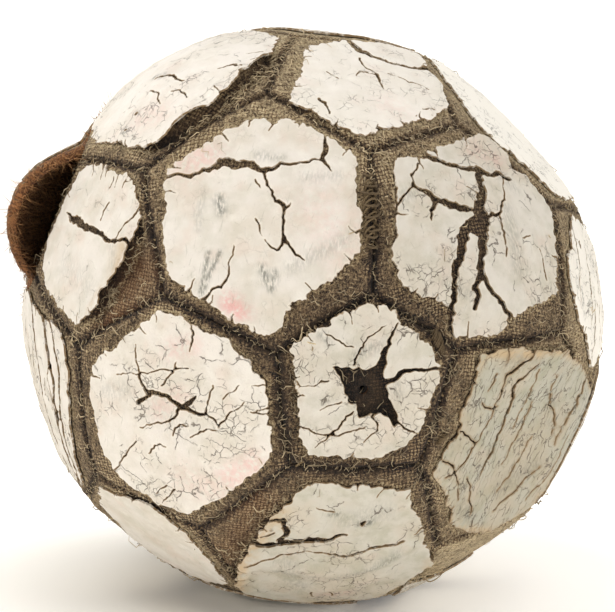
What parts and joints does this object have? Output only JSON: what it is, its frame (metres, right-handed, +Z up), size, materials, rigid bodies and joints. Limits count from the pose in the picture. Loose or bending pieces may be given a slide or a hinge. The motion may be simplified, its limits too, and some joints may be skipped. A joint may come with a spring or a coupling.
{
  "type": "deflated football",
  "caption": "Old hand-stitched football that has gone down: cracked white coat peeling from woven panels over a slack rubber bladder, one panel torn loose.",
  "frame": {"origin": "middle of the underside at floor level, below the middle of the whole object's box", "axes": "+Z up. -Y is the side with the valve's panel, 9 degrees towards +X from straight ahead. The torn flap stands out on the -X side."},
  "size_m": [0.2178, 0.217, 0.2124],
  "materials": {
    "cracked_coat": "matte painted coat, cracked through and dirty",
    "backing_cloth": "coarse woven backing, stained brown, frayed",
    "bladder_rubber": "aged black rubber, slack and dusty",
    "sewing_thread": "waxed thread, dirty"
  },
  "bodies": {
    "root": {"base_hexagon": "cracked_coat", "bladder": "bladder_rubber", "crown_pentagon": "cracked_coat", "dented_hexagon": "cracked_coat", "flap_hexagon": "backing_cloth", "left_crown_pentagon": "cracked_coat", "left_foot_pentagon": "cracked_coat", "left_heel_hexagon": "cracked_coat", "left_pentagon": "cracked_coat", "left_rear_pentagon": "cracked_coat", "left_shoulder_hexagon": "cracked_coat", "left_side_hexagon": "cracked_coat", "lower_hexagon": "cracked_coat", "middle_left_hexagon": "cracked_coat", "rear_foot_pentagon": "cracked_coat", "rear_lower_left_hexagon": "cracked_coat", "rear_lower_right_hexagon": "cracked_coat", "rear_pentagon": "cracked_coat", "rear_top_hexagon": "cracked_coat", "rear_upper_left_hexagon": "cracked_coat", "rear_upper_right_hexagon": "cracked_coat", "right_cheek_hexagon": "cracked_coat", "right_crown_pentagon": "cracked_coat", "right_foot_pentagon": "cracked_coat", "right_heel_hexagon": "cracked_coat", "right_pentagon": "cracked_coat", "right_rear_pentagon": "cracked_coat", "right_shoulder_hexagon": "cracked_coat", "right_side_hexagon": "cracked_coat", "seam_thread": "sewing_thread", "top_hexagon": "cracked_coat", "upper_left_hexagon": "cracked_coat", "upper_right_hexagon": "cracked_coat", "valve_pentagon": "cracked_coat", "valve_plug": "bladder_rubber"}
  },
  "joints": []
}
